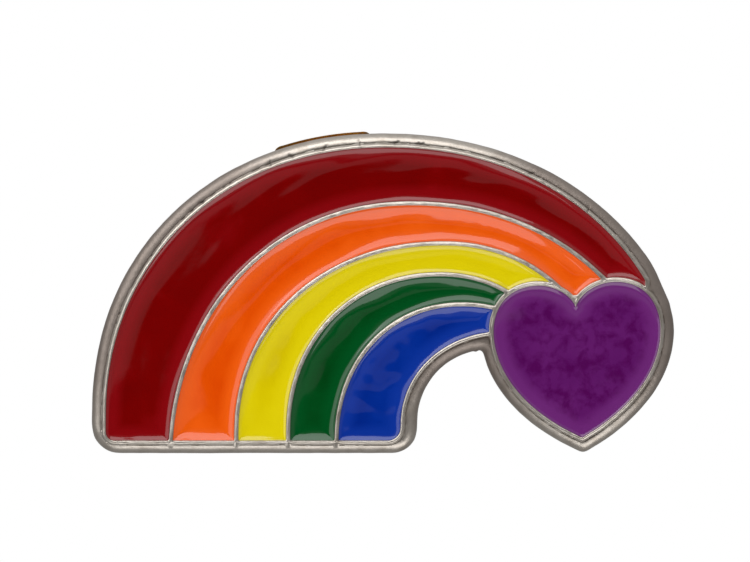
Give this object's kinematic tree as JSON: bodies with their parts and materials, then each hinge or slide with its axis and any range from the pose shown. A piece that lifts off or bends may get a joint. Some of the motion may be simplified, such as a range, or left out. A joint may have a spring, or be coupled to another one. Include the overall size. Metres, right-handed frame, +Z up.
{
  "type": "enamel pin",
  "caption": "Rainbow arch lapel pin ending in a heart, glossy colour fills between raised metal lines, with a pointed post and a brass butterfly clutch.",
  "frame": {"origin": "where the post's axis meets the flat back face of the badge", "axes": "+Y along the post, out of the back; the face looks along -Y; +Z up as worn; +X to the right of someone looking at the face"},
  "size_m": [0.0321, 0.0097, 0.0179],
  "materials": {
    "nickel_plate": "bright nickel plate over a die-cast zinc body, slightly uneven",
    "red_enamel": "glossy dark red soft enamel",
    "orange_enamel": "glossy orange soft enamel",
    "yellow_enamel": "glossy yellow soft enamel",
    "green_enamel": "glossy dark green soft enamel",
    "blue_enamel": "glossy blue soft enamel",
    "purple_enamel": "glossy purple soft enamel with a mottled pigment",
    "post_steel": "plated steel needle",
    "solder": "dull tin solder",
    "brass": "stamped yellow brass with light handling marks"
  },
  "bodies": {
    "badge": {"pin_body": "nickel_plate", "enamel_red": "red_enamel", "enamel_orange": "orange_enamel", "enamel_yellow": "yellow_enamel", "enamel_green": "green_enamel", "enamel_blue": "blue_enamel", "enamel_heart": "purple_enamel", "post": "post_steel", "solder_fillet": "solder"},
    "cup": {"clutch_cup": "brass"},
    "spring": {"clutch_plate": "brass"},
    "upper_wing": {"wing_upper": "brass"},
    "lower_wing": {"wing_lower": "brass"}
  },
  "joints": [
    {"name": "clutch_pull_off", "type": "slide", "parent": "badge", "child": "cup", "axis": [0, 1, 0], "range_m": [0, 0.0095]},
    {"name": "clutch_spin", "type": "hinge", "parent": "cup", "child": "spring", "pos_m": [0, 0, 0], "axis": [0, 1, 0], "continuous": true},
    {"name": "upper_wing_squeeze", "type": "hinge", "parent": "spring", "child": "upper_wing", "pos_m": [-0.00026, 0.0028, 0.00148], "axis": [-0.9848, 0, -0.1736], "range_deg": [0, 12], "stiffness_Nm_per_rad": 0.1},
    {"name": "lower_wing_squeeze", "type": "hinge", "parent": "spring", "child": "lower_wing", "pos_m": [0.00026, 0.0028, -0.00148], "axis": [0.9848, 0, 0.1736], "range_deg": [0, 12]}
  ],
  "couplings": [
    {"joint": "lower_wing_squeeze", "follows": "upper_wing_squeeze", "ratio": 1}
  ]
}
